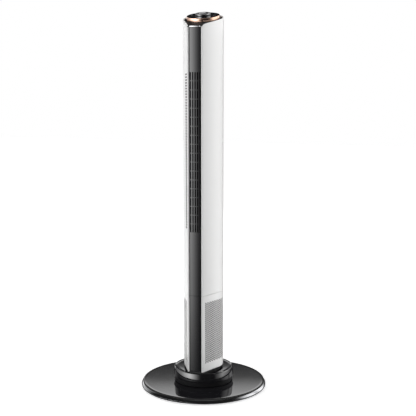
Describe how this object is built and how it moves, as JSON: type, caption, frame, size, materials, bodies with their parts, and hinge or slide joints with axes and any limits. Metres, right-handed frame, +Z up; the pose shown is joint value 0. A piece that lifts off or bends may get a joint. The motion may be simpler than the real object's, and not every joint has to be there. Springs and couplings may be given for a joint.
{
  "type": "bladeless tower fan",
  "caption": "Slim white tower fan with a dark slotted front strip, tilted control top with a copper coloured ring, swinging on a black turntable over a round weighted base.",
  "frame": {"origin": "centre of the round base on the floor, on the column's swing axis", "axes": "+Z up along the column, the air outlet faces -Y, +X is the fan's own left when seen from behind and the viewer's right when seen from the front"},
  "size_m": [0.326, 0.326, 0.9667],
  "materials": {
    "gloss_black": "polished black plastic",
    "matte_black": "fine satin black plastic",
    "casing_white": "white plastic with a soft sheen",
    "dark_chrome": "polished dark chrome",
    "copper_ring": "brushed copper coloured plating",
    "steel": "zinc plated steel",
    "cast_iron": "painted cast iron",
    "rubber": "black rubber",
    "acetal": "natural acetal",
    "motor_grey": "zinc plated motor can",
    "circuit_board": "green circuit board",
    "lens_grey": "smoked light window",
    "knob_trim": "bright polished metal"
  },
  "bodies": {
    "base": {"base_disc": "gloss_black", "base_rim": "dark_chrome", "base_tray": "matte_black", "base_weight": "cast_iron", "rubber_feet": "rubber", "tray_screws": "steel", "boss_body": "matte_black", "boss_screws": "steel", "pivot_bush": "acetal", "glide_ring": "acetal", "ring_gear": "acetal", "gear_screws": "steel", "cord_grommet": "rubber"},
    "column": {"turntable_collar": "gloss_black", "pivot_spindle": "steel", "spindle_nut": "steel", "column_foot": "matte_black", "foot_screws": "steel", "swing_motor": "motor_grey", "lower_shell": "casing_white", "lower_strip": "gloss_black", "power_board": "circuit_board", "seam_bulkhead": "matte_black", "left_shell": "casing_white", "right_shell": "casing_white", "front_strip": "gloss_black", "rear_grille": "casing_white", "grille_screws": "steel", "duct_floor": "matte_black", "duct_ceiling": "matte_black", "scroll_wall": "matte_black", "tongue_wall": "matte_black", "fan_motor": "motor_grey", "motor_mounts": "rubber", "motor_screws": "steel", "upper_bearing": "rubber", "top_deck": "matte_black", "deck_screws": "steel", "panel_ring": "copper_ring", "control_panel": "gloss_black", "indicator_lenses": "lens_grey", "control_board": "circuit_board", "encoder_body": "motor_grey"},
    "impeller_body": {"motor_shaft": "steel", "impeller": "matte_black", "top_pivot": "steel"},
    "pinion_body": {"swing_pinion": "acetal"},
    "knob_body": {"knob_shaft": "steel", "knob": "gloss_black", "knob_trim": "knob_trim"}
  },
  "joints": [
    {"name": "column_swing", "type": "hinge", "parent": "base", "child": "column", "pos_m": [0, 0, 0.04], "axis": [0, 0, 1], "range_deg": [-35, 35]},
    {"name": "impeller_spin", "type": "hinge", "parent": "column", "child": "impeller_body", "pos_m": [0, 0, 0.6], "axis": [0, 0, 1], "continuous": true},
    {"name": "pinion_spin", "type": "hinge", "parent": "column", "child": "pinion_body", "pos_m": [0, 0.03, 0.031], "axis": [0, 0, 1], "range_deg": [-210, 210]},
    {"name": "knob_turn", "type": "hinge", "parent": "column", "child": "knob_body", "pos_m": [0, -0.00209, 0.95677], "axis": [0, -0.2198, 0.9755], "continuous": true}
  ],
  "couplings": [
    {"joint": "pinion_spin", "follows": "column_swing", "ratio": -6}
  ]
}
